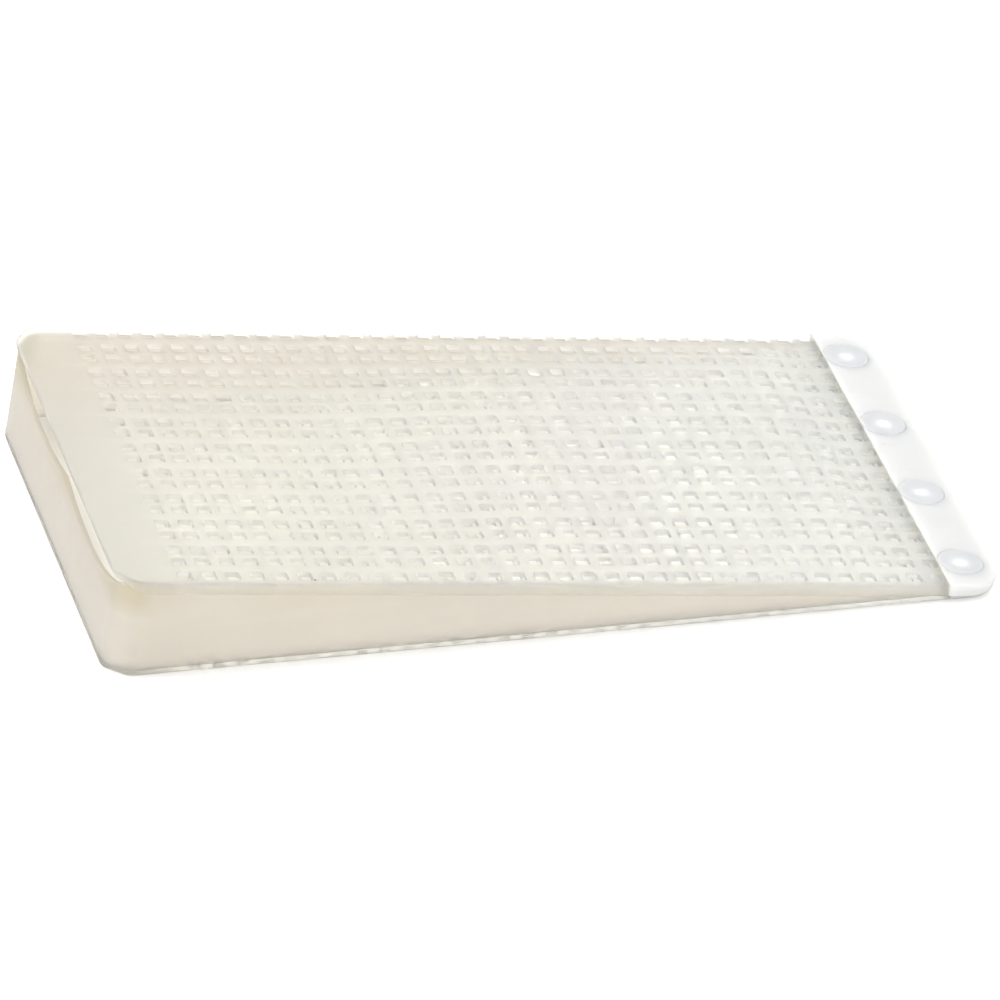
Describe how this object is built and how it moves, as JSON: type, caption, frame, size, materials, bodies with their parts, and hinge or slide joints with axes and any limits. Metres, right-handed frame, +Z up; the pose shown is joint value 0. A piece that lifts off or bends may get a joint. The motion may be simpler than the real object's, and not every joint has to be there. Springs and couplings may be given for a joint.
{
  "type": "queen excluder",
  "caption": "Wedge-shaped queen excluder cage with a perforated floor, a perforated hinged lid, an entry slot at the tall end and press studs at the thin end.",
  "frame": {"origin": "centre of the box's bounding box at the height of the underside", "axes": "+Z up, +X along the length towards the thin end, +Y across the width"},
  "size_m": [0.2626, 0.144, 0.0318],
  "materials": {
    "grid_sheet": "translucent natural plastic sheet, satin, milky with a faint warm tint",
    "cage_wall": "translucent natural plastic, smooth satin, slightly clearer than the sheets",
    "press_stud": "smooth clear-to-milky natural plastic"
  },
  "bodies": {
    "cage": {"floor_grid": "grid_sheet", "near_side_wall": "cage_wall", "far_side_wall": "cage_wall", "tall_end_wall": "cage_wall", "thin_end_bar": "cage_wall", "lid_tab": "grid_sheet", "stud_cap_1": "press_stud", "stud_cap_2": "press_stud", "stud_cap_3": "press_stud", "stud_cap_4": "press_stud", "stud_socket_1": "press_stud", "stud_socket_2": "press_stud", "stud_socket_3": "press_stud", "stud_socket_4": "press_stud"},
    "lid": {"lid_grid": "grid_sheet"}
  },
  "joints": [
    {"name": "lid_hinge", "type": "hinge", "parent": "cage", "child": "lid", "pos_m": [0.1084, 0, 0.00626], "axis": [0, 1, 0], "range_deg": [0, 45], "stiffness_Nm_per_rad": 0.03}
  ]
}
